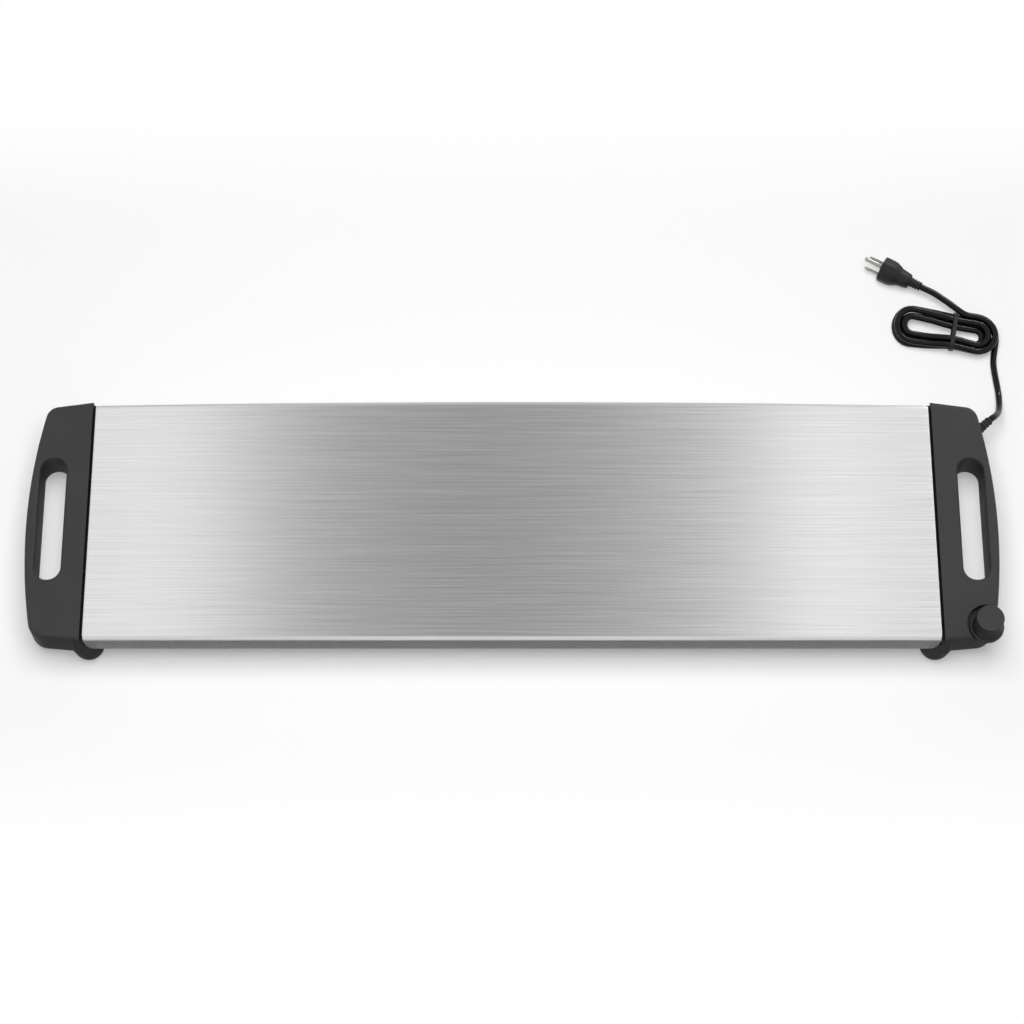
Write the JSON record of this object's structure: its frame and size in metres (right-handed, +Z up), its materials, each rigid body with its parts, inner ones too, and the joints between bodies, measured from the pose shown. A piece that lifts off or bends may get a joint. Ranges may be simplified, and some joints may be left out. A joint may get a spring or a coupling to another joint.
{
  "type": "electric food warming tray",
  "caption": "Long flat electric food warming tray: brushed steel hot plate between moulded end handles, corner thermostat knob, mains cord tied in a hank.",
  "frame": {"origin": "on the table plane under the middle of the tray, the cord left out: z = 0 is where the four rubber feet stand, x = 0 is midway between the handles' outer sides and y = 0 is midway between the front and rear feet's outer sides", "axes": "+X towards the handle that carries the thermostat knob and the cord, +Y towards the rear, +Z up"},
  "size_m": [1.0205, 0.4627, 0.078],
  "materials": {
    "brushed_plate": "stainless steel sheet, finely brushed across its length",
    "galvanised": "galvanised sheet steel, dull grey with faint spangle",
    "aluminium_sheet": "rolled aluminium sheet, satin",
    "element_sheath": "oxidised steel sheath, dark satin grey",
    "zinc_steel": "bright zinc-plated steel",
    "mineral_board": "pressed mineral fibre board, matt",
    "ceramic": "steatite ceramic, fine satin",
    "moulded_black": "moulded phenolic or nylon, black-grey with a fine spark texture",
    "knob_black": "moulded plastic, black, fine ribs on the side",
    "foot_rubber": "black rubber, slightly glossy",
    "brass": "turned brass, satin",
    "core_sleeve": "smooth core insulation",
    "wire_red": "silicone-sleeved wire, dark red",
    "wire_white": "silicone-sleeved wire, white",
    "wire_green": "PVC-sleeved wire, green",
    "cord_sheath": "black PVC or rubber sheath, semi-matt",
    "tie_band": "black plastic-coated twist tie",
    "plated_prong": "nickel-plated brass"
  },
  "bodies": {
    "tray": {"top_plate": "brushed_plate", "base_plate": "galvanised", "end_bracket_left": "galvanised", "end_bracket_right": "galvanised", "heat_spreader": "aluminium_sheet", "heating_element": "element_sheath", "element_clamps": "zinc_steel", "insulation_board": "mineral_board", "thermal_cutoff": "ceramic", "handle_left": "moulded_black", "handle_right": "moulded_black", "handle_cover_left": "moulded_black", "handle_cover_right": "moulded_black", "handle_screws": "zinc_steel", "cover_screws": "zinc_steel", "base_screws": "zinc_steel", "foot_front_left": "foot_rubber", "foot_front_right": "foot_rubber", "foot_rear_left": "foot_rubber", "foot_rear_right": "foot_rubber", "foot_screws": "zinc_steel", "thermostat_body": "ceramic", "thermostat_nut": "brass", "knob_bezel": "moulded_black", "terminal_block": "ceramic", "cord_cores": "core_sleeve", "wire_live": "wire_red", "wire_neutral": "wire_white", "wire_earth": "wire_green", "earth_screw": "brass", "strain_relief": "cord_sheath", "cord_lead": "cord_sheath", "cord_hank": "cord_sheath", "cord_tie": "tie_band", "cord_tail": "cord_sheath", "plug_body": "cord_sheath", "plug_blades": "plated_prong", "plug_ground_pin": "plated_prong"},
    "knob_turning": {"knob": "knob_black", "knob_clip": "zinc_steel", "spindle": "brass"}
  },
  "joints": [
    {"name": "knob_turn", "type": "hinge", "parent": "tray", "child": "knob_turning", "pos_m": [0.48, -0.1135, 0.06], "axis": [0, 0, 1], "range_deg": [-270, 0]}
  ]
}
